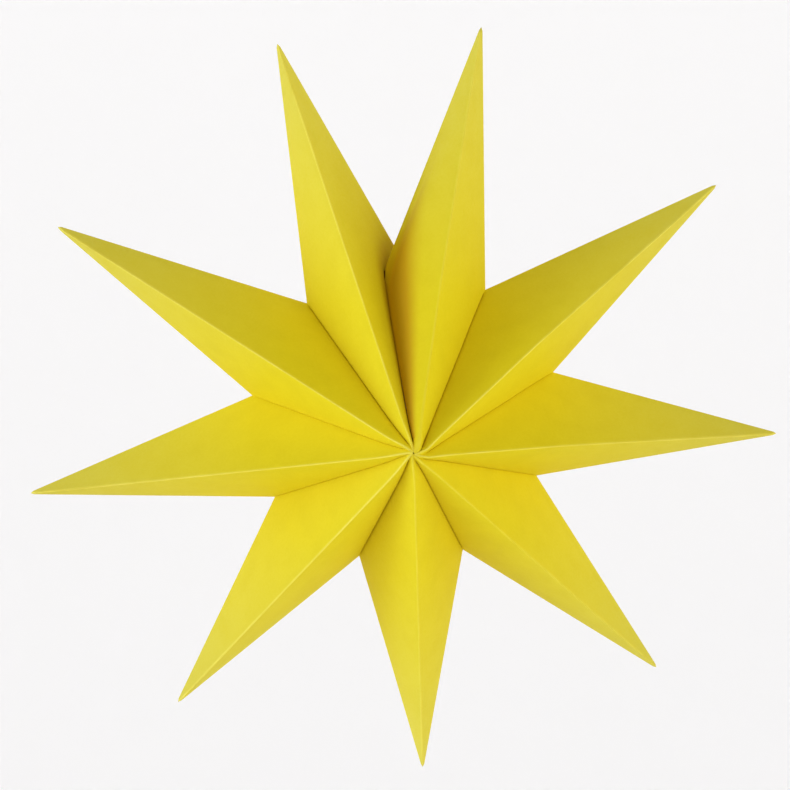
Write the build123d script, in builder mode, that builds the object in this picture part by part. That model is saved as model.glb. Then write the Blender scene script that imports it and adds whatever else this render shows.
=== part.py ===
from build123d import *
from math import cos, radians, sin
import os

# A paper star lantern: nine hollow points, each folded from one sheet of card, glued side by side in a ring.
# The first and the last point meet at a seam at the top, which tape holds closed and where the star hangs.
# Lengths are millimetres and angles are degrees. The star stands upright and faces -Y.

# The star as a whole
tip_radius = 150  # middle of the star to the sharp end of a point's folds
valley_radius = 59  # middle of the star to the outer end of a valley between two points
pole_height = 54  # middle plane of the star to the poles where the ridges meet, in front and behind

# How the glued points stray from an even star, clockwise from the seam
point_turns = (0.3, -0.5, 0.7, -0.4, -0.3, -0.2, 0, 0.3, 0)  # anticlockwise
tip_shares = (1.005, 1, 1, 1.005, 1, 0.995, 0.99, 1, 0.995)
valley_shares = (1, 1.03, 0.98, 1, 0.99, 1, 1, 0.99)

# The card and its folds
card = 0.35
inside_fold_radius = 0.25
tip_blunt = 2  # worn off the sharp tip
tip_fold_share = 0.1  # of that, the radius of the folds at the tip
tip_pinch = 8  # length of tip, from its sharp end, where the card lies pressed together
eye_radius = 0.6  # pinhole left at each pole

# The glue flaps, folded inward along the valleys
flap_depth = 5.5  # square to the facet that the flap is folded from
flap_pole_gap = 5  # from the axis to the near end of a flap
flap_notch = 2  # between the front and the back flap

# The lap that closes each sheet, glued inside its back ridge
lap_width = 6
lap_tip_share = 0.4  # of that, its width at the far end
lap_fold_gap = 1  # from the middle of the ridge to the lap
lap_end_gap = 20  # from the axis to its near end, and from the sharp tip to its far end

# The closing seam, where two points stand close and their side corners slip past one another
seam_pitch = 29.4  # between the two points
seam_radius = 68  # middle of the star to the top of the seam
seam_lean = 4.7  # of the front half of the seam to the left, and of the back half to the right
seam_slip = 10  # of the first point's corner forward, and of the last point's corner back
seam_gap = 0.8  # thickness of the tape
tape_width = 5
tape_length = 36
tape_margin = 1.5  # from the fold of the seam down to the tape
tape_pole_gap = 18  # along the fold, from the pole to the tape


def in_plan(radius, direction):
    """A place in the star's middle plane."""
    return radius * cos(radians(direction)), radius * sin(radians(direction))


def seam_corner_radius(length, direction):
    """A side fold beside the seam runs from its tip past the seam's top to the leaning half of the seam."""
    tip_across, tip_up = in_plan(length, direction)
    lean_up, lean_across = in_plan(1, seam_lean)
    tip_side = abs(tip_across)
    return tip_side * seam_radius / (tip_side * lean_up + (tip_up - seam_radius) * lean_across)


# The star's middle plane: x to the right, y up, z to the front. The top of the seam is the origin.
star_plane = Plane(origin=(0, 0, -seam_radius), x_dir=(1, 0, 0), z_dir=(0, -1, 0))
sector_reach_share = 2
sector_reach = tip_radius * sector_reach_share
fold_radius = inside_fold_radius + card
tip_fold_radius = tip_blunt * tip_fold_share

# Directions of the points and of the edges between them, clockwise from the seam and back to it
point_count = len(point_turns)
pitch = (360 - seam_pitch) / (point_count - 1)
seam_direction = 90
seam_front = seam_direction + seam_lean
seam_back = seam_direction - seam_lean
first_direction = seam_direction - seam_pitch / 2
directions = [first_direction - pitch * place + turn for place, turn in enumerate(point_turns)]
valleys = [(one + next_one) / 2 for one, next_one in zip(directions, directions[1:])]
front_edges = [seam_front, *valleys, seam_front - 360]
back_edges = [seam_back, *valleys, seam_back - 360]

# The corners where the side folds end, one on each edge: radius, direction and distance to the front
lengths = [tip_radius * share for share in tip_shares]
first_corner = (seam_corner_radius(lengths[0], directions[0]), seam_front, seam_slip)
last_corner = (seam_corner_radius(lengths[-1], directions[-1]), seam_back - 360, -seam_slip)
valley_corners = [(valley_radius * share, valley, 0) for share, valley in zip(valley_shares, valleys)]
side_corners = [first_corner, *valley_corners, last_corner]


def axis_corner(length, direction, corner):
    """Where a side fold, carried on past its corner, meets the plane square to its point at the axis."""
    corner_radius, corner_direction, forward = corner
    along, across = in_plan(corner_radius, corner_direction - direction)
    growth = length / (length - along)
    return across * growth, forward * growth


def cross_section(root_plane, corners, length, along, inset=0, fold=0):
    """The four-sided section of a point at a distance along it, drawn in by an inset, with rounded folds."""
    taper = 1 - along / length
    with BuildSketch(root_plane.offset(along)) as outline:
        with BuildLine():
            Polyline(*[(across * taper, forward * taper) for across, forward in corners], close=True)
        make_face()
        if inset:
            offset(amount=-inset, kind=Kind.INTERSECTION)
        if fold:
            fillet(outline.vertices(), radius=fold)
    return outline.sketch


def sector(left, right, seam=None, inset=0):
    """Plan of one point's share of the star, less half of the gap where one edge is the seam."""
    with BuildSketch(star_plane) as plan:
        with BuildLine():
            Polyline((0, 0), in_plan(sector_reach, right), in_plan(sector_reach, left), close=True)
        make_face()
        if seam:
            Rectangle(sector_reach, seam_gap, seam, align=(Align.MIN, Align.CENTER), mode=Mode.SUBTRACT)
        if inset:
            offset(amount=-inset, kind=Kind.INTERSECTION)
    return plan.sketch


os.makedirs("parts", exist_ok=True)

with BuildSketch(star_plane) as flap_ends:
    Circle(flap_pole_gap)

with BuildSketch(star_plane) as eye:
    Circle(eye_radius)

# Nine points, clockwise from the seam
for place, (length, direction) in enumerate(zip(lengths, directions)):
    # Square to the point at the axis, x is to its left and y to the front. Along it, y is to its left.
    ray_x, ray_z = in_plan(1, direction)
    root_plane = Plane(origin=star_plane.origin, x_dir=(-ray_z, 0, ray_x), z_dir=(ray_x, 0, ray_z))
    ray_plane = Plane(origin=star_plane.origin, x_dir=(ray_x, 0, ray_z), z_dir=star_plane.z_dir)

    # Its sector in front and behind, and the same less the flaps along its edges
    beside_seam = place in (0, point_count - 1)
    front = (*front_edges[place : place + 2], seam_front if beside_seam else None)
    back = (*back_edges[place : place + 2], seam_back if beside_seam else None)
    front_plan, front_inside = sector(*front), sector(*front, inset=card)
    back_plan, back_inside = sector(*back), sector(*back, inset=card)

    # Its sections at the axis and near the tip: outside, inside, below the lap and below the flaps
    left_corner = axis_corner(length, direction, side_corners[place])
    right_corner = axis_corner(length, direction, side_corners[place + 1])
    shape = (root_plane, [left_corner, (0, pole_height), right_corner, (0, -pole_height)], length)
    pinch = length - tip_pinch
    outside = [
        cross_section(*shape, 0, fold=fold_radius),
        cross_section(*shape, length - tip_blunt, fold=tip_fold_radius),
    ]
    inside = [cross_section(*shape, along, card, inside_fold_radius) for along in (0, pinch)]
    below_lap = [cross_section(*shape, along, card * 2) for along in (0, pinch)]
    below_flaps = [cross_section(*shape, along, flap_depth) for along in (0, valley_radius)]

    with BuildSketch(ray_plane) as lap_plan:
        with BuildLine():
            Polyline(
                (lap_end_gap, lap_fold_gap),
                (length - lap_end_gap, lap_fold_gap),
                (length - lap_end_gap, lap_width * lap_tip_share),
                (lap_end_gap, lap_width),
                close=True,
            )
        make_face()

    with BuildPart() as lap:
        extrude(lap_plan.sketch, amount=-pole_height)
        loft(inside, mode=Mode.INTERSECT)
        loft(below_lap, mode=Mode.SUBTRACT)

    with BuildPart() as wedge:
        extrude(front_plan, amount=pole_height)
        extrude(back_plan, amount=-pole_height)

    # The space inside: between the flaps, round their ends, and past them on to the neighbours
    with BuildPart() as hollow:
        extrude(front_inside, amount=pole_height)
        extrude(back_inside, amount=-pole_height)
        extrude(flap_ends.sketch, amount=pole_height, both=True)
        extrude(front_plan, amount=flap_notch / 2)
        extrude(back_plan, amount=-flap_notch / 2)
        loft(inside, mode=Mode.INTERSECT)
        loft(below_flaps)
        add(lap.part, mode=Mode.SUBTRACT)

    with BuildPart() as point:
        loft(outside)
        add(wedge.part, mode=Mode.INTERSECT)
        add(hollow.part, mode=Mode.SUBTRACT)
        extrude(eye.sketch, amount=pole_height, both=True, mode=Mode.SUBTRACT)
    point.part.label = f"point_{place + 1}"
    export_step(point.part, f"parts/point_{place + 1}.step")

# Two strips of tape between the flaps of the first and the last point, one along each fold of the seam
for name, side, (corner_radius, seam, forward) in (
    ("closing_tape_front", 1, first_corner),
    ("closing_tape_back", -1, last_corner),
):
    pole = star_plane.from_local_coords(Vector(0, 0, pole_height * side))
    corner = star_plane.from_local_coords(Vector(*in_plan(corner_radius, seam), forward))
    fold = corner - pole
    fold_plane = Plane(origin=pole, x_dir=fold, z_dir=fold.cross(star_plane.z_dir * side))
    with BuildPart() as tape:
        with BuildSketch(fold_plane):
            with Locations((tape_pole_gap, -tape_margin)):
                Rectangle(tape_length, tape_width, align=(Align.MIN, Align.MAX))
        extrude(amount=seam_gap / 2, both=True)
    tape.part.label = name
    export_step(tape.part, f"parts/{name}.step")
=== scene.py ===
from math import atan2, cos, degrees, exp, radians, sin

import bmesh
import bpy
from mathutils import Matrix, Vector


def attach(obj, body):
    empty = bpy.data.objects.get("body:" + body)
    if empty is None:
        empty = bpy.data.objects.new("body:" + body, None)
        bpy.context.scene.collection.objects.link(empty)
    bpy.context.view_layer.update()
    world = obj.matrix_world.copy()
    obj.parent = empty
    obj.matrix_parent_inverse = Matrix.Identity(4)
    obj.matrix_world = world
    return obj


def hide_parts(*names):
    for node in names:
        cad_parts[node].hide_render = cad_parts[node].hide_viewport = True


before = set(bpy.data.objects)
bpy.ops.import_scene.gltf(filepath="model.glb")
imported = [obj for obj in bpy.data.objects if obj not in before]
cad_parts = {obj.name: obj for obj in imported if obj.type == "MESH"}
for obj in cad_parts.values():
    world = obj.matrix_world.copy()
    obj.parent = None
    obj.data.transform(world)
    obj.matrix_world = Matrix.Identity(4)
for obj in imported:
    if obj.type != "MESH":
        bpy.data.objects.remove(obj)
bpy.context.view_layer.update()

# The nine points: each is one sheet of yellow card, scored and folded into a long hollow pyramid of four facets,
# closed by a glued lap under its back ridge. Flaps along its root are glued to those of the points beside it.
# Point 1 is right of the seam at the top, and the others follow clockwise.
MM = 0.001
star_middle = Vector((0, 0, -68 * MM))
tip_radius = 150 * MM
valley_radius = 59 * MM
pole_height = 54 * MM
point_turns = (0.3, -0.5, 0.7, -0.4, -0.3, -0.2, 0, 0.3, 0)
tip_shares = (1.005, 1, 1, 1.005, 1, 0.995, 0.99, 1, 0.995)
valley_shares = (1, 1.03, 0.98, 1, 0.99, 1, 1, 0.99)
tip_blunt = 2 * MM
tip_close_share = 1.5
card = 0.35 * MM
glue_gap = 0.04 * MM  # left clear on each side of a glued valley

# The seam: its front half leans left and its back half right, and the two corners beside it slip past one another.
seam_direction = 90
seam_pitch = 29.4
seam_radius = 68 * MM
seam_lean = 4.7
seam_slip = 10 * MM
seam_gap = 0.8 * MM


def spot(radius, direction, forward=0):
    """A place in the star: radius and direction in its middle plane, and distance to the front."""
    return star_middle + Vector((radius * cos(radians(direction)), -forward, radius * sin(radians(direction))))


first_direction = seam_direction - seam_pitch / 2
pitch = (360 - seam_pitch) / (len(point_turns) - 1)
directions = [first_direction - pitch * place + turn for place, turn in enumerate(point_turns)]
valleys = [(one + other) / 2 for one, other in zip(directions, directions[1:])]
tips = [spot(tip_radius * share, direction) for share, direction in zip(tip_shares, directions)]
corners = [spot(valley_radius * share, valley) for share, valley in zip(valley_shares, valleys)]
front_pole = spot(0, 0, pole_height)
back_pole = spot(0, 0, -pole_height)

# The side fold of point 1 runs past the top of the seam to a corner in front, and its back facet ends in a slant
# there. Point 9 has the same turned round, with its corner behind.
seam_front = seam_direction + seam_lean
seam_back = seam_direction - seam_lean
tip_side = abs(tips[0].x)
tip_rise = tips[0].z - star_middle.z - seam_radius
lean = radians(seam_lean)
corner_radius = tip_side * seam_radius / (tip_side * cos(lean) + tip_rise * sin(lean))
slant_radius = 59.1 * MM
fold_lap = Vector((0.3 * MM, 0, 0))  # how far each of the two corners reaches past the middle of the seam
first_corner = spot(corner_radius, seam_front, seam_slip) - fold_lap
first_slant = spot(slant_radius, seam_back, -seam_slip) - fold_lap
last_corner = spot(corner_radius, seam_back, -seam_slip) + fold_lap
last_slant = spot(slant_radius, seam_front, seam_slip) + fold_lap

# Columns across a facet from ridge to side fold, and rows from its root to its tip, close together near the folds
across_shares = (
    0, 0.03, 0.06, 0.1, 0.15, 0.21, 0.28, 0.35, 0.42, 0.49, 0.56, 0.63, 0.7, 0.76, 0.82, 0.87, 0.91, 0.94, 0.97, 1
)
row_shares = (
    0.03, 0.042, 0.054, 0.066, 0.08, 0.095, 0.11, 0.13, 0.15, 0.175, 0.2, 0.23, 0.26, 0.3, 0.34, 0.38, 0.43,
    0.48, 0.53, 0.58, 0.63, 0.68, 0.73, 0.78, 0.83, 0.87, 0.91, 0.94, 0.965, 0.981
)
slant_shares = (0.1, 0.3, 0.5, 0.7, 0.9, 1)

# The folds, the flaps and the lap
fold_percent = 24  # of the way to the next column
fold_segments = 4
valley_folds = (1, 0.6, 0.6, 0.9, 1, 0.5, 0.4, 0.9)  # mm, clockwise from the seam
seam_fold = 0.7 * MM
flap_depth = 5.5 * MM
flap_first_row = 3 * MM
seam_first_row = 1.8 * MM
lap_width = 6 * MM
lap_tip_share = 0.4  # of that, its width at the tip
lap_end_gap = 20 * MM
lap_edge_share = 0.995  # of the way to the back ridge, where the sheet ends
lap_sink = card * 1.2

# How the card bows out between its folds. A place counts to a facet if it lies in its outline, with some slack, and
# is not too far above or below it.
bow = 0.6 * MM
bow_shares = (0.25, 0.2, 0.25, 1, 1.4, 0.35, 0.15, 0.8)  # beside each valley, clockwise from the seam
bow_valley_reach = 5 * MM
bow_ridge_reach = 16 * MM
bow_side_reach = 10 * MM
facet_slack = 0.002
facet_above = 0.6 * MM
facet_below = 1.6 * MM

# Beside the seam it was never creased hard: the facet bows out further and its corner, the hip, is rounded
hip_bow = 0.14  # of the facet's width
hip_bow_power = 4
hip_bow_start = 0.3  # of the way from the side fold to the pole
hip_slack = 0.06
hip_below = 4 * MM
hip_reach = 8 * MM
hip_rounds = 14
hip_smoothing = 0.5

# How the corners crowd together at the poles
pole_reach = 14 * MM
pole_sink = 0.7 * MM
pole_swirl = 1 * MM
pole_swirl_start = 1.5 * MM
pole_lean = Vector((1.25 * MM, 0, -1.25 * MM))
pole_lean_reach = 58 * MM
pole_lean_depth = 20 * MM
pole_lean_sides = (88, 72, -20, -55)  # degrees round the pole where it is none, full, still full, and none again
eye_reach = 0.9 * MM
eye_sink = 1.5 * MM

# How far painted shade darkens the yellow beside the valleys and the seam. It stands in for the shade in these narrow
# folds and the light thrown to and fro between the sheets there. Half is gold and the whole is brown.
valley_painted_shades = (0.025, 0.01, 0.02, 0.045, 0.055, 0.01, 0, 0.03)  # clockwise from the seam
valley_painted_shade_start = 0.3  # of the way from the ridge to the valley
seam_painted_shade = 0.75
seam_painted_shade_start = 0.4
seam_painted_shade_end = 0.85
seam_painted_shade_fall = 0.5
hip_painted_shade = 0.25
hip_painted_shade_start = 0.8
hip_painted_shade_end = 0.97
hip_painted_shade_reach = 0.12
slant_painted_shadow = 0.3
slant_painted_shadow_share = 0.085
flap_painted_shade = 0.9


def root_chain(bm, stops):
    """The root of a sheet as a chain of vertices through its stops, with the columns of each facet between."""
    chain = [bm.verts.new(stops[0][0])]
    marks = [stops[0][1]]
    for (start, start_kind), (end, end_kind) in zip(stops, stops[1:]):
        shares = across_shares[1:]
        if start_kind != "ridge":
            shares = [1 - share for share in reversed(across_shares[:-1])]
        if {start_kind, end_kind} == {"slant", "hip"}:
            shares = slant_shares
        for share in shares:
            chain.append(bm.verts.new(start.lerp(end, share)))
            marks.append(end_kind if share == 1 else "facet")
    for one, other in zip(chain, chain[1:]):
        bm.edges.new((one, other))
    return chain, marks


def grown_row(bm, edges):
    """Grows a new row of faces from a row of edges, and gives its vertices and its edges."""
    geom = bmesh.ops.extrude_edge_only(bm, edges=edges)["geom"]
    new_verts = [item for item in geom if isinstance(item, bmesh.types.BMVert)]
    new_edges = [item for item in geom if isinstance(item, bmesh.types.BMEdge)]
    return new_verts, new_edges


def eased(share):
    """A share that starts and ends gently."""
    share = min(1, max(0, share))
    return share * share * (3 - 2 * share)


def folded_point(place):
    """The folded sheet of one point, as a surface along the outside of the card."""
    tip = tips[place]
    ray = (tip - star_middle).normalized()
    clear = ray.cross(Vector((0, -1, 0))) * glue_gap
    left = corners[place - 1] - clear if place else first_corner
    right = corners[place] + clear if place < len(tips) - 1 else last_corner

    # Its root goes once round from the back ridge to the edge that the lap closes
    sides = ("hip" if place == 0 else "fold", "hip" if place == len(tips) - 1 else "fold")
    stops = [(back_pole, "ridge"), (left, sides[0]), (front_pole, "ridge"), (right, sides[1])]
    stops.append((right.lerp(back_pole, lap_edge_share), "edge"))
    if place == 0:
        stops.insert(1, (first_slant, "slant"))
    if place == len(tips) - 1:
        stops.insert(3, (last_slant, "slant"))
    bm = bmesh.new()
    painted_shade = bm.verts.layers.float.new("painted_shade")
    chain, marks = root_chain(bm, stops)
    front_ridge = marks.index("ridge", 1)

    # The facets grow from the root towards the tip, row by row
    rows = [chain]
    reach = 1
    for share in row_shares:
        last = rows[-1]
        edges = [bm.edges.get((one, other)) for one, other in zip(last, last[1:])]
        made, _ = grown_row(bm, edges)
        step = (1 - share) / reach
        bmesh.ops.scale(bm, vec=(step, step, step), space=Matrix.Translation(-tip), verts=made)
        reach = 1 - share
        fresh = set(made)
        neighbours = [[edge.other_vert(vert) for edge in vert.link_edges] for vert in last]
        rows.append([next(vert for vert in nearby if vert in fresh) for nearby in neighbours])

    # The flaps are folded from the root inward, along the planes between the points
    creases = []
    flap_starts = []
    kinds = [place_of for place_of, mark in enumerate(marks) if mark != "facet"]
    for start, end in zip(kinds, kinds[1:]):
        names = (marks[start], marks[end])
        if set(names) == {"slant", "hip"}:
            continue
        from_ridge = names[0] == "ridge"
        first, final = (start + 2, end - 1) if from_ridge else (start + 1, end - 2)
        flap_starts.append((start, end, chain[first : final + 1]))
    for start, end, root in flap_starts:
        edges = [bm.edges.get((one, other)) for one, other in zip(root, root[1:])]
        beside_seam = bool({"slant", "hip"} & {marks[start], marks[end]})
        valley = place - 1 if end <= front_ridge else place
        creases.append((edges, seam_fold if beside_seam else valley_folds[valley] * MM))
        along = (chain[end].co - chain[start].co).normalized()
        plane = along.cross((chain[start].co + chain[end].co) / 2 - star_middle)
        inward = along.cross(plane).normalized()
        if inward.dot(star_middle - chain[(start + end) // 2].co) < 0:
            inward = -inward
        aside = Vector()
        first_row = flap_first_row
        if beside_seam:
            aside = ray.project(Vector((1, 0, 0))).normalized() * (seam_gap / 2 + fold_lap.x)
            first_row = seam_first_row
        for depth, shift in ((first_row, aside), (flap_depth - first_row, Vector())):
            made, edges = grown_row(bm, edges)
            bmesh.ops.translate(bm, vec=inward * depth + shift, verts=made)
            # The hidden flaps are darkened with painted shade
            for vert in made:
                vert[painted_shade] = flap_painted_shade

    # The lap is folded under the back ridge and lies on the inside of the facet that closes the sheet
    ridge = (tip - back_pole).normalized()
    inside = (right - back_pole) - ridge * (right - back_pole).dot(ridge)
    inside.normalize()
    under = ridge.cross(inside)
    if under.y > 0:
        under = -under
    back_edge = [row[0] for row in rows]
    lap_end = tip_radius - lap_end_gap
    lap_root = [vert for vert in back_edge if lap_end_gap < (vert.co - star_middle).dot(ray) < lap_end]
    edges = [bm.edges.get((one, other)) for one, other in zip(lap_root, lap_root[1:])]
    for width, sink in ((card, lap_sink), (lap_width, 0)):
        made, edges = grown_row(bm, edges)
        for vert in made:
            share = (vert.co - star_middle).dot(ray) / tip_radius
            taper = 1 - (1 - lap_tip_share) * share if sink == 0 else 1
            vert.co += inside * width * taper + under * sink

    # The folds are pressed: ridges and side folds from root to tip, and the valleys where the flaps turn in
    fold_edges = []
    for column, mark in enumerate(marks):
        if mark in ("ridge", "fold", "hip") and column:
            fold_edges += [bm.edges.get((one[column], other[column])) for one, other in zip(rows, rows[1:])]
    for geom, size, kind in (
        (fold_edges, fold_percent, "PERCENT"),
        *[(edges, size, "OFFSET") for edges, size in creases],
    ):
        bmesh.ops.bevel(
            bm,
            geom=geom,
            offset=size,
            offset_type=kind,
            segments=fold_segments,
            profile=0.5,
            affect="EDGES",
            clamp_overlap=True,
            material=-1,
        )

    # The stiff card bows out a little between its folds, and rolls down into the valleys
    seam_side = {0: (front_pole, left), len(tips) - 1: (back_pole, right)}.get(place)
    slant_side = {0: (back_pole, left), len(tips) - 1: (front_pole, right)}.get(place)
    for pole in (front_pole, back_pole):
        for valley, corner in ((place - 1, left), (place, right)):
            beside_seam = (pole, corner) == seam_side
            if (pole, corner) == slant_side:
                continue
            slack, below = (hip_slack, hip_below) if beside_seam else (facet_slack, facet_below)
            outward = (corner - pole).cross(tip - pole).normalized()
            if outward.dot(pole - star_middle) < 0:
                outward = -outward
            flap_plane = (corner - star_middle).cross(Vector((0, 1, 0))).normalized()
            across = (corner - pole).cross((tip - pole).normalized()).length
            along = (pole - tip).cross((corner - tip).normalized()).length
            to_shares = Matrix((tip - pole, corner - pole, outward)).transposed().inverted()
            for vert in bm.verts:
                to_tip, to_corner, height = to_shares @ (vert.co - pole)
                to_pole = 1 - to_tip - to_corner
                if min(to_tip, to_corner, to_pole) < -slack or not -below < height < facet_above:
                    continue
                from_pole = max(facet_slack, to_tip + to_corner)
                to_edge = min(1, max(0, to_corner) / from_pole)
                # Beside the seam painted shade darkens the facet where it rolls away into the narrow fold
                if beside_seam:
                    rolled = eased((1 - from_pole) / hip_bow_start)
                    width = from_pole * (tip - corner).length * rolled
                    vert.co += outward * hip_bow * width * to_edge * (1 - to_edge**hip_bow_power)
                    rim = eased((1 - from_pole) / hip_painted_shade_reach)
                    shade_painted_end = seam_painted_shade_end * rim + hip_painted_shade_end * (1 - rim)
                    shade_painted_start = seam_painted_shade_start * rim + hip_painted_shade_start * (1 - rim)
                    shade_painted = seam_painted_shade * rolled + hip_painted_shade * (1 - rolled)
                    shade_painted *= 1 - seam_painted_shade_fall * rolled * eased((to_edge - shade_painted_end) / (1 - shade_painted_end))
                    vert[painted_shade] = shade_painted * eased((to_edge - shade_painted_start) / (shade_painted_end - shade_painted_start))
                    continue
                # Elsewhere painted shade darkens the facet towards the valley
                near_valley = eased((to_edge - valley_painted_shade_start) / (1 - valley_painted_shade_start))
                vert[painted_shade] = valley_painted_shades[valley] * near_valley
                lift = bow * bow_shares[valley]
                for distance, reach in (
                    (abs((vert.co - star_middle).dot(flap_plane)), bow_valley_reach),
                    (to_corner * across, bow_ridge_reach),
                    (to_pole * along, bow_side_reach),
                ):
                    lift *= 1 - (1 - min(1, max(0, distance / reach))) ** 2
                vert.co += outward * lift

    # The slant below the other point's hip lies in its shade, which is painted on it as darker colour
    if slant_side:
        pole, corner = slant_side
        slant = first_slant if place == 0 else last_slant
        seam_top = star_middle + Vector((0, 0, seam_radius))
        for vert in bm.verts:
            distances = []
            for start, end in ((pole, slant), (slant, seam_top), (slant, corner)):
                share = (vert.co - start).dot(end - start) / (end - start).length_squared
                distances.append((vert.co - start.lerp(end, min(1, max(0, share)))).length)
            reach = slant_painted_shadow_share * (vert.co - pole).length
            shade_painted = slant_painted_shadow * eased(1 - min(distances) / reach) if reach else 0
            vert[painted_shade] = max(vert[painted_shade], shade_painted)

    # The hip is rounded in turns that draw in on its corner
    if seam_side:
        corner = seam_side[1]
        for turn in range(hip_rounds):
            reach = hip_reach * (1 - turn / hip_rounds)
            rounded = [vert for vert in bm.verts if (vert.co - corner).length < reach]
            bmesh.ops.smooth_vert(
                bm, verts=rounded, factor=hip_smoothing, use_axis_x=True, use_axis_y=True, use_axis_z=True
            )

    # How far each place is from the nearest ridge, for the rubbing and the painted highlight along the ridges
    fold_distance = bm.verts.layers.float.new("fold_distance")
    ridges = [(pole - tip).normalized() for pole in (front_pole, back_pole)]
    for vert in bm.verts:
        vert[fold_distance] = min((vert.co - tip).cross(ridge).length for ridge in ridges)

    # At the poles the nine corners crowd together: they are pressed down and turned aside round a pinhole
    for vert in bm.verts:
        from_axis = Vector((vert.co.x, 0, vert.co.z - star_middle.z))
        crowding = max(0, 1 - from_axis.length / pole_reach) ** 2
        eye = max(0, 1 - from_axis.length / eye_reach) ** 2
        front = 1 if vert.co.y < 0 else -1
        aside = pole_swirl * crowding * (1 - exp(-from_axis.length / pole_swirl_start))
        turned = Matrix.Rotation(atan2(aside, from_axis.length) * front, 3, "Y") @ from_axis
        # In front, points 1 to 3 were glued a little past the pole
        around = degrees(atan2(from_axis.z, from_axis.x))
        none_left, full_left, full_right, none_right = pole_lean_sides
        left_rise = (none_left - around) / (none_left - full_left)
        right_rise = (around - none_right) / (full_right - none_right)
        lean = min(1, max(0, min(left_rise, right_rise))) * max(0, 1 - from_axis.length / pole_lean_reach)
        lean *= (1 - exp(-from_axis.length / pole_swirl_start)) * min(1, max(0, -vert.co.y / pole_lean_depth))
        vert.co += turned - from_axis + Vector((0, (pole_sink * crowding + eye_sink * eye) * front, 0))
        vert.co += pole_lean * lean

    # The tip is closed to a blunt point
    ends = [vert for vert in bm.verts if (vert.co - tip).dot(ray) > -tip_blunt * tip_close_share]
    bmesh.ops.pointmerge(bm, verts=ends, merge_co=tip - ray * tip_blunt)
    bmesh.ops.recalc_face_normals(bm, faces=bm.faces)
    return bm


def linear(colour):
    """An sRGB hex colour as linear red, green, blue and alpha."""
    parts = [int(colour[start : start + 2], 16) / 255 for start in (1, 3, 5)]
    return (*[part / 12.92 if part <= 0.04045 else ((part + 0.055) / 1.055) ** 2.4 for part in parts], 1)


def add_node(tree, kind, inputs=(), **settings):
    """Adds a node with its settings. An input is a socket with its value, or with the output that it is linked to."""
    node = tree.nodes.new(kind)
    for name, value in settings.items():
        setattr(node, name, value)
    for socket, value in dict(inputs).items():
        if isinstance(value, bpy.types.NodeSocket):
            tree.links.new(value, node.inputs[socket])
        else:
            node.inputs[socket].default_value = value
    return node


# Dyed card: wood pulp coloured right through and calendered, so matte and smooth, with faint clouds of uneven dye
# and the fine tooth of its fibres. Painted light makes it a little paler towards the tips. Its folds are rubbed pale,
# with a painted highlight along the ridges as well. Beside the valleys and the seam painted shade darkens its yellow
# to gold and then to brown.
card_ior = 1.45
card_gloss = 0.25
card_roughness = (0.7, 0.82)
card_colour = linear("#F0DD14")
card_tip_lit = linear("#E2D54D")
tip_light_start = 60 * MM  # from the middle of the star
card_cloud = linear("#DFCA02")
cloud_size = 9 * MM
cloud_limits = (0.4, 0.75)
cloud_share = 0.25
fibre_size = 0.9 * MM  # real fibres are finer, about 0.05 mm wide, and would not show
fibre_limits = (0.3, 0.7)
fibre_wander = 0.6
fibre_bump = 0.25
fibre_height = 0.06 * MM
tooth_share = 0.18
card_gold_shade = linear("#D0A400")
card_brown_shade = linear("#AB8000")
brown_shade_start = 0.5
# The pale line along the ridges: partly rubbed card, partly a painted highlight on the rounded folds
card_rubbed_highlight = linear("#FBED5F")
rub_highlight_width = 0.95 * MM
rub_highlight_full = 0.2 * rub_highlight_width
rub_patch = 14 * MM
rub_patch_limits = (0.3, 0.65)
rub_patch_shares = (0.35, 0.9)
rub_highlight_shares = (0.25, 0.9, 1, 0.4, 0.35, 0.9, 1, 0.9, 0.6)  # of points 1 to 9
mix_first, mix_second, mix_out = 6, 7, 2  # the colour sockets of a Mix node
card_paper = bpy.data.materials.new("dyed_card")
card_paper.use_nodes = True
tree = card_paper.node_tree
shader = tree.nodes["Principled BSDF"]
shader.inputs["IOR"].default_value = card_ior
shader.inputs["Specular IOR Level"].default_value = card_gloss
place_on_card = add_node(tree, "ShaderNodeTexCoord").outputs["Object"]
from_middle = add_node(
    tree, "ShaderNodeVectorMath", {0: place_on_card, 1: star_middle}, operation="DISTANCE"
).outputs["Value"]
# Painted light: the card is paler towards the tips, which stand in fuller light than the crowded middle
tip_lighting = add_node(
    tree, "ShaderNodeMapRange", {"Value": from_middle, "From Min": tip_light_start, "From Max": tip_radius}
).outputs["Result"]
clouds = add_node(
    tree, "ShaderNodeTexNoise", {"Vector": place_on_card, "Scale": 1 / cloud_size, "Detail": 3}
).outputs["Fac"]
clouding = add_node(
    tree,
    "ShaderNodeMapRange",
    {"Value": clouds, "From Min": cloud_limits[0], "From Max": cloud_limits[1], "To Max": cloud_share},
).outputs["Result"]
fibres = add_node(
    tree,
    "ShaderNodeTexNoise",
    {"Vector": place_on_card, "Scale": 1 / fibre_size, "Detail": 2, "Distortion": fibre_wander},
).outputs["Fac"]
tooth = add_node(
    tree,
    "ShaderNodeMapRange",
    {"Value": fibres, "From Min": fibre_limits[0], "From Max": fibre_limits[1], "To Max": tooth_share},
).outputs["Result"]
to_fold = add_node(tree, "ShaderNodeAttribute", attribute_name="fold_distance").outputs["Fac"]
rub_highlight_line = add_node(
    tree,
    "ShaderNodeMapRange",
    {"Value": to_fold, "From Min": rub_highlight_full, "From Max": rub_highlight_width, "To Min": 1, "To Max": 0},
    interpolation_type="SMOOTHSTEP",
).outputs["Result"]
patches = add_node(
    tree, "ShaderNodeTexNoise", {"Vector": place_on_card, "Scale": 1 / rub_patch, "Detail": 4}
).outputs["Fac"]
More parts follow.
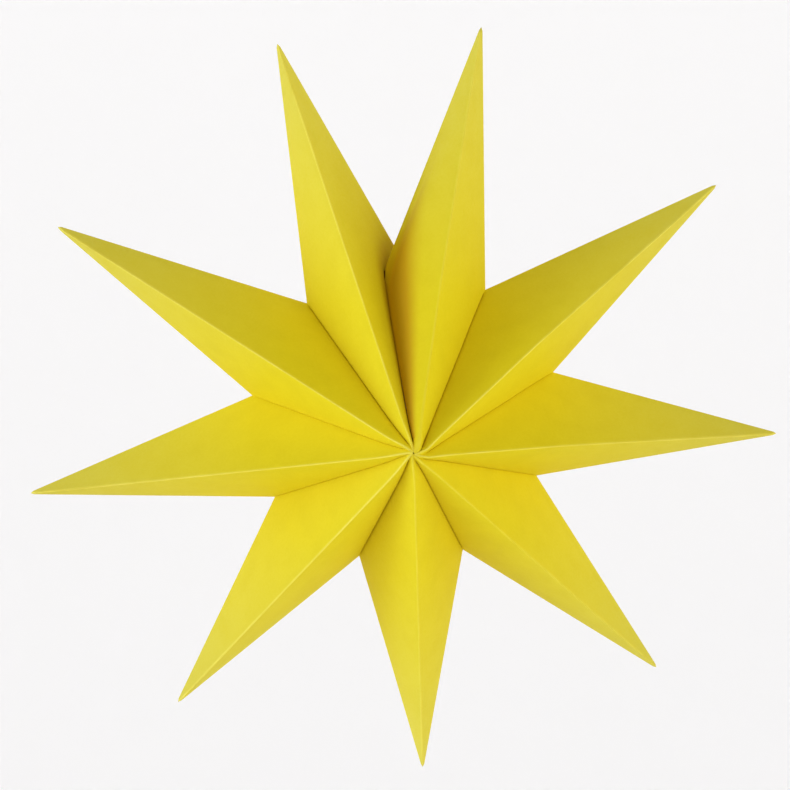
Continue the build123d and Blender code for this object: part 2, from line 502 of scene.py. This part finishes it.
wear = add_node(
    tree,
    "ShaderNodeMapRange",
    {
        "Value": patches,
        "From Min": rub_patch_limits[0],
        "From Max": rub_patch_limits[1],
        "To Min": rub_patch_shares[0],
        "To Max": rub_patch_shares[1],
    },
).outputs["Result"]
rub_highlight_share = add_node(tree, "ShaderNodeAttribute", attribute_name="fold_rub_highlight").outputs["Fac"]
rub_highlight = add_node(tree, "ShaderNodeMath", {0: rub_highlight_line, 1: wear}, operation="MULTIPLY").outputs["Value"]
rub_highlight = add_node(tree, "ShaderNodeMath", {0: rub_highlight, 1: rub_highlight_share}, operation="MULTIPLY").outputs["Value"]
# Painted shade from the mesh: its first half darkens the card to gold, the rest on to brown
depth = add_node(tree, "ShaderNodeAttribute", attribute_name="painted_shade").outputs["Fac"]
gold_shading = add_node(tree, "ShaderNodeMapRange", {"Value": depth, "From Max": brown_shade_start}).outputs["Result"]
brown_shading = add_node(tree, "ShaderNodeMapRange", {"Value": depth, "From Min": brown_shade_start}).outputs["Result"]
colour = add_node(
    tree,
    "ShaderNodeMix",
    {"Factor": tip_lighting, mix_first: card_colour, mix_second: card_tip_lit},
    data_type="RGBA",
).outputs[mix_out]
for factor, other in (
    (clouding, card_cloud),
    (tooth, card_cloud),
    (gold_shading, card_gold_shade),
    (brown_shading, card_brown_shade),
    (rub_highlight, card_rubbed_highlight),
):
    colour = add_node(
        tree, "ShaderNodeMix", {"Factor": factor, mix_first: colour, mix_second: other}, data_type="RGBA"
    ).outputs[mix_out]
roughness = add_node(
    tree,
    "ShaderNodeMapRange",
    {
        "Value": fibres,
        "From Min": fibre_limits[0],
        "From Max": fibre_limits[1],
        "To Min": card_roughness[0],
        "To Max": card_roughness[1],
    },
).outputs["Result"]
bump = add_node(
    tree, "ShaderNodeBump", {"Height": fibres, "Strength": fibre_bump, "Distance": fibre_height}
).outputs["Normal"]
for socket, output in (("Base Color", colour), ("Roughness", roughness), ("Normal", bump)):
    tree.links.new(output, shader.inputs[socket])

# Each sheet gets the card's thickness inward, less towards its tip, where the facets lie pressed together
thin_reach = 9 * MM
thin_start = 0.25
thinnest = 0.05
sharp_turn = 60
scene = bpy.context.scene
for place in range(len(tips)):
    bm = folded_point(place)
    mesh = bpy.data.meshes.new(f"folded_sheet_{place + 1}")
    bm.to_mesh(mesh)
    bm.free()
    sheet = bpy.data.objects.new(f"card_point_{place + 1}", mesh)
    scene.collection.objects.link(sheet)
    full = sheet.vertex_groups.new(name="thickness")
    for vert in mesh.vertices:
        from_tip = (vert.co - tips[place]).length
        full.add([vert.index], min(1, max(thinnest, from_tip / thin_reach - thin_start)), "REPLACE")
    wall = sheet.modifiers.new("card", "SOLIDIFY")
    wall.thickness = card
    wall.offset = -1
    wall.vertex_group = full.name
    mesh = bpy.data.meshes.new_from_object(sheet.evaluated_get(bpy.context.evaluated_depsgraph_get()))
    mesh.name = f"card_point_{place + 1}"
    sheet.modifiers.clear()
    sheet.vertex_groups.clear()
    sheet.data = mesh
    mesh.materials.clear()
    mesh.materials.append(card_paper)
    mesh.shade_smooth()
    mesh.set_sharp_from_angle(angle=radians(sharp_turn))
    # Each point's share of the rubbed pale line and painted highlight along its ridges
    fold_rub_highlight = mesh.attributes.new("fold_rub_highlight", "FLOAT", "POINT")
    for vert in mesh.vertices:
        fold_rub_highlight.data[vert.index].value = rub_highlight_shares[place]
    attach(sheet, "root")
    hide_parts(f"point_{place + 1}")

# The closing tape: two strips of double-sided foam tape between the flaps of points 1 and 9, one along each half of
# the seam. Each is cut from a roll of white closed-cell foam with glue on both faces.
# Closed-cell foam is off-white and dull, pitted all over where its small round bubbles were cut open.
foam_ior = 1.5
foam_roughness = 0.9
foam_colour = linear("#EDEBE3")
foam_pit_shade = linear("#CFCBBD")
bubble_size = 0.4 * MM
pit_limits = (0.1, 0.5)
pit_bump = 0.6
pit_depth = 0.1 * MM
foam = bpy.data.materials.new("closed_cell_foam")
foam.use_nodes = True
tree = foam.node_tree
shader = tree.nodes["Principled BSDF"]
shader.inputs["Roughness"].default_value = foam_roughness
shader.inputs["IOR"].default_value = foam_ior
place_on_foam = add_node(tree, "ShaderNodeTexCoord").outputs["Object"]
bubbles = add_node(
    tree, "ShaderNodeTexVoronoi", {"Vector": place_on_foam, "Scale": 1 / bubble_size}
).outputs["Distance"]
# Painted shade darkens the pits
pit_shade = add_node(
    tree,
    "ShaderNodeMapRange",
    {"Value": bubbles, "From Min": pit_limits[0], "From Max": pit_limits[1], "To Min": 1, "To Max": 0},
).outputs["Result"]
colour = add_node(
    tree, "ShaderNodeMix", {"Factor": pit_shade, mix_first: foam_colour, mix_second: foam_pit_shade}, data_type="RGBA"
).outputs[mix_out]
bump = add_node(
    tree, "ShaderNodeBump", {"Height": bubbles, "Strength": pit_bump, "Distance": pit_depth}
).outputs["Normal"]
for socket, output in (("Base Color", colour), ("Normal", bump)):
    tree.links.new(output, shader.inputs[socket])
for name in ("closing_tape_front", "closing_tape_back"):
    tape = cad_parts[name]
    tape.data.materials.clear()
    tape.data.materials.append(foam)

# The studio: a sweep of pale seamless paper, floor and background in one, with the star hanging in front of it.
# The paper comes off a roll, hangs down behind and turns forward into the floor in one round cove.
# It is uncoated and quite matte, and glows a little: painted light that keeps it evenly pale and lights the star.
white = linear("#FFFFFF")
paper_colour = linear("#F9F8F6")
paper_painted_glow = 0.1
paper_half_width = 20
paper_front = -20
paper_level = -3.2
paper_back = 2.6
cove_radius = 0.35
cove_turn = 90
cove_steps = 16
paper_top = 6
bm = bmesh.new()
ends = [bm.verts.new((side * paper_half_width, paper_front, paper_level)) for side in (-1, 1)]
edges = [bm.edges.new(ends)]
cove_start = paper_back - cove_radius
cove_top = paper_level + cove_radius
made, edges = grown_row(bm, edges)
bmesh.ops.translate(bm, vec=(0, cove_start - paper_front, 0), verts=made)
turned = bmesh.ops.spin(
    bm, geom=edges, cent=(0, cove_start, cove_top), axis=(1, 0, 0), angle=radians(cove_turn), steps=cove_steps
)
edges = [item for item in turned["geom_last"] if isinstance(item, bmesh.types.BMEdge)]
made, edges = grown_row(bm, edges)
bmesh.ops.translate(bm, vec=(0, 0, paper_top - cove_top), verts=made)
bmesh.ops.remove_doubles(bm, verts=bm.verts, dist=MM)
bmesh.ops.recalc_face_normals(bm, faces=bm.faces)
floor_mesh = bpy.data.meshes.new("floor")
bm.to_mesh(floor_mesh)
bm.free()
floor_mesh.shade_smooth()
floor = bpy.data.objects.new("floor", floor_mesh)
scene.collection.objects.link(floor)
paper = bpy.data.materials.new("pale_paper")
paper.use_nodes = True
shader = paper.node_tree.nodes["Principled BSDF"]
shader.inputs["Base Color"].default_value = paper_colour
shader.inputs["Roughness"].default_value = 1
shader.inputs["Specular IOR Level"].default_value = 0
shader.inputs["Emission Color"].default_value = white
shader.inputs["Emission Strength"].default_value = paper_painted_glow
floor_mesh.materials.append(paper)

# The lights: wide and soft, round the star at about its own height. Cool daylight comes from the left, and warmer
# lamps stand in front on the right and to the right. None shines straight down.
# Each has a name, its side and height in degrees as seen from the star, its strength and its colour.
cool_daylight = linear("#C5CFFF")
pale_daylight = linear("#E8EAFF")
warm_white = linear("#FFFBE8")
soft_width = 45
for name, side, height, strength, light_colour in (
    ("left", -85, 0, 1.38, cool_daylight),
    ("left_high", -85, 20, 0.99, cool_daylight),
    ("front_left", -60, 0, 0.96, pale_daylight),
    ("front_right", 30, 0, 1.4, warm_white),
    ("right", 85, 10, 0.56, warm_white),
):
    light = bpy.data.lights.new(name, "SUN")
    light.energy = strength
    light.color = light_colour[:3]
    light.angle = radians(soft_width)
    lamp = bpy.data.objects.new(name, light)
    scene.collection.objects.link(lamp)
    downward = Matrix.Rotation(radians(-height), 3, "X") @ Vector((0, 1, 0))
    toward = Matrix.Rotation(radians(side), 3, "Z") @ downward
    lamp.rotation_euler = toward.to_track_quat("-Z", "Y").to_euler()

# A panel lies low in front of the star and sends a little light up under its points
panel_place = Vector((-0.1, -0.5, -1.05))
panel_size = 0.8
panel_power = 0.08
panel_spread = 60
light = bpy.data.lights.new("low_panel", "AREA")
light.energy = panel_power
light.size = panel_size
light.spread = radians(panel_spread)
lamp = bpy.data.objects.new("low_panel", light)
scene.collection.objects.link(lamp)
lamp.location = panel_place
lamp.rotation_euler = (star_middle - panel_place).to_track_quat("-Z", "Y").to_euler()
lamp.visible_camera = False

# The room beyond the paper sends a weak even light and looks as pale as the paper
ambient_strength = 0.305
room_strength = 0.85
scene.view_settings.view_transform = "Standard"
world = bpy.data.worlds.new("studio")
scene.world = world
world.use_nodes = True
tree = world.node_tree
sent = tree.nodes["Background"]
sent.inputs["Color"].default_value = white
sent.inputs["Strength"].default_value = ambient_strength
seen = add_node(tree, "ShaderNodeBackground", {"Color": white, "Strength": room_strength})
straight = add_node(tree, "ShaderNodeLightPath").outputs["Is Camera Ray"]
room = add_node(
    tree, "ShaderNodeMixShader", {0: straight, 1: sent.outputs["Background"], 2: seen.outputs["Background"]}
)
tree.links.new(room.outputs["Shader"], tree.nodes["World Output"].inputs["Surface"])

# The camera stands close in front of the star, a little to the left, and looks down on it from somewhat higher.
# Its lens, place and turns come from a fit to the nine tips, the valleys and the pole in the photograph.
camera_lens = 57.85
camera_sensor = 36
camera_place = Vector((-25.1, -477.2, 47.5)) * MM
camera_pan = -2.687
camera_tilt = 90 - 12.506  # 90 looks level
camera_roll = -3.548
camera_near = 0.01
camera_far = 100
camera_data = bpy.data.cameras.new("camera")
camera_data.lens = camera_lens
camera_data.sensor_width = camera_sensor
camera_data.clip_start = camera_near
camera_data.clip_end = camera_far
camera = bpy.data.objects.new("camera", camera_data)
scene.collection.objects.link(camera)
scene.camera = camera
pan = Matrix.Rotation(radians(camera_pan), 4, "Z")
tilt = Matrix.Rotation(radians(camera_tilt), 4, "X")
roll = Matrix.Rotation(radians(camera_roll), 4, "Z")
camera.matrix_world = Matrix.Translation(camera_place) @ (pan @ tilt @ roll)
